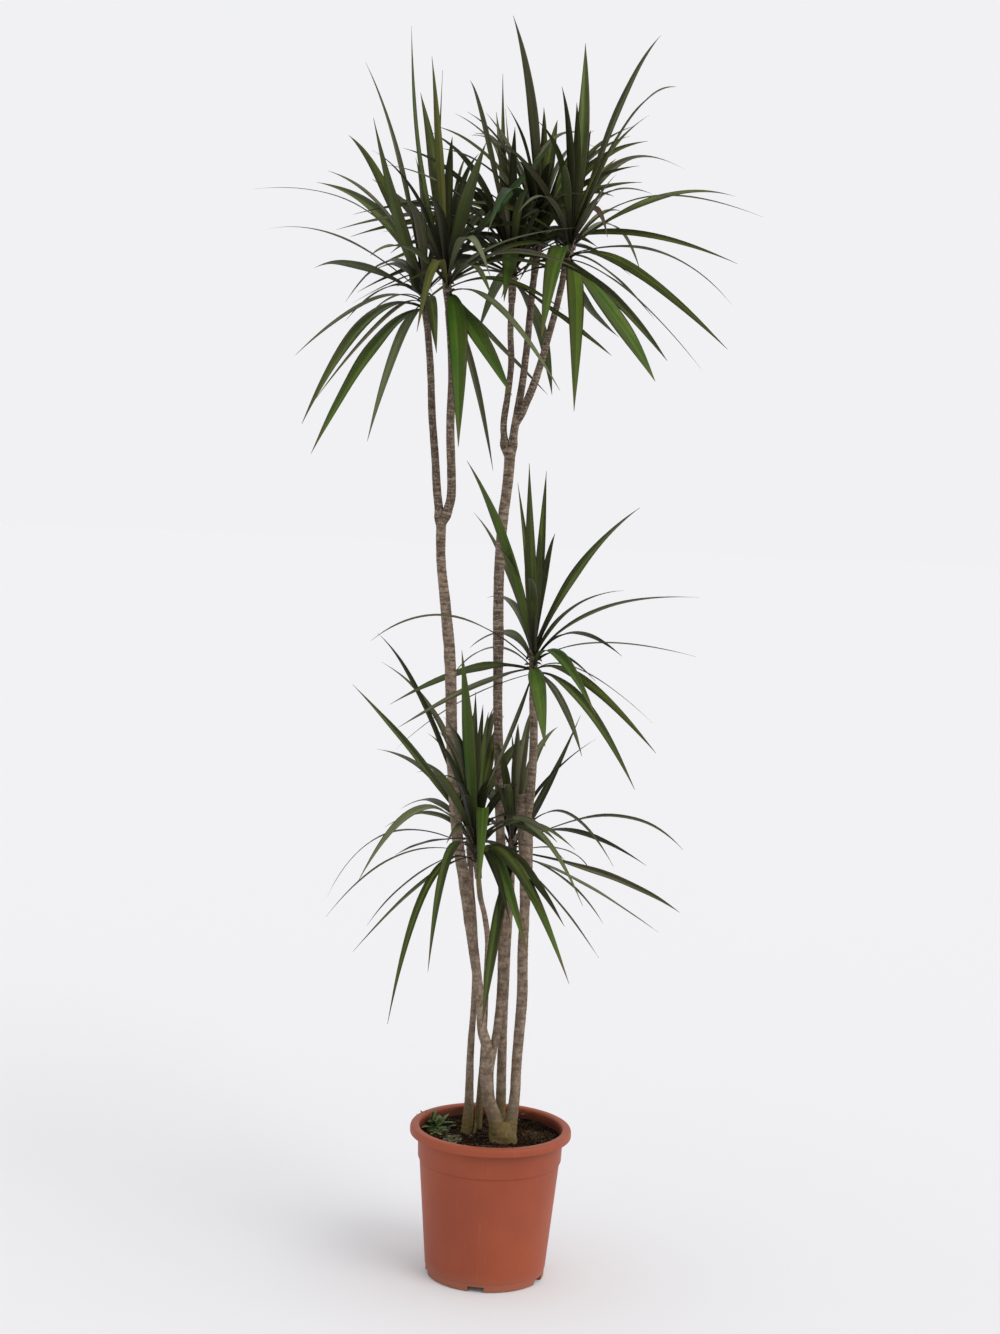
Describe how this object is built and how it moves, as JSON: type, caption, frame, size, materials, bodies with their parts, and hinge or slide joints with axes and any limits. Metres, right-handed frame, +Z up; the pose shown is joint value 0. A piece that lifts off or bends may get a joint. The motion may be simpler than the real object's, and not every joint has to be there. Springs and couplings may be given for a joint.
{
  "type": "potted madagascar dragon tree",
  "caption": "Potted Madagascar dragon tree: ringed bare canes that fork into rosettes of long arching strap leaves, in a round tapered nursery pot filled with soil.",
  "frame": {"origin": "middle of the pot's flat underside, on the floor", "axes": "+Z up the plant, -Y toward the front that the picture shows, +X to that view's right"},
  "size_m": [0.7123, 0.7593, 1.84],
  "materials": {
    "pot_plastic": "satin",
    "potting_soil": "matte",
    "cane_bark": "matte",
    "leaf": "satin"
  },
  "bodies": {
    "root": {"pot": "pot_plastic", "soil": "potting_soil", "stump": "cane_bark", "left_trunk": "cane_bark", "tall_cane_left": "cane_bark", "tall_cane_middle": "cane_bark", "right_cane": "cane_bark", "slender_cane_left": "cane_bark", "slender_cane_back": "cane_bark", "back_cane": "cane_bark", "bough_left_outer": "cane_bark", "bough_left_inner": "cane_bark", "bough_middle_front": "cane_bark", "bough_middle_back": "cane_bark", "bough_right": "cane_bark", "bough_low_right": "cane_bark", "leaves_left_outer": "leaf", "leaves_left_inner": "leaf", "leaves_middle_front": "leaf", "leaves_middle_back": "leaf", "leaves_right": "leaf", "leaves_low_right": "leaf", "leaves_low_left_back": "leaf", "leaves_low_left_front": "leaf", "leaves_low_back": "leaf"}
  },
  "joints": []
}
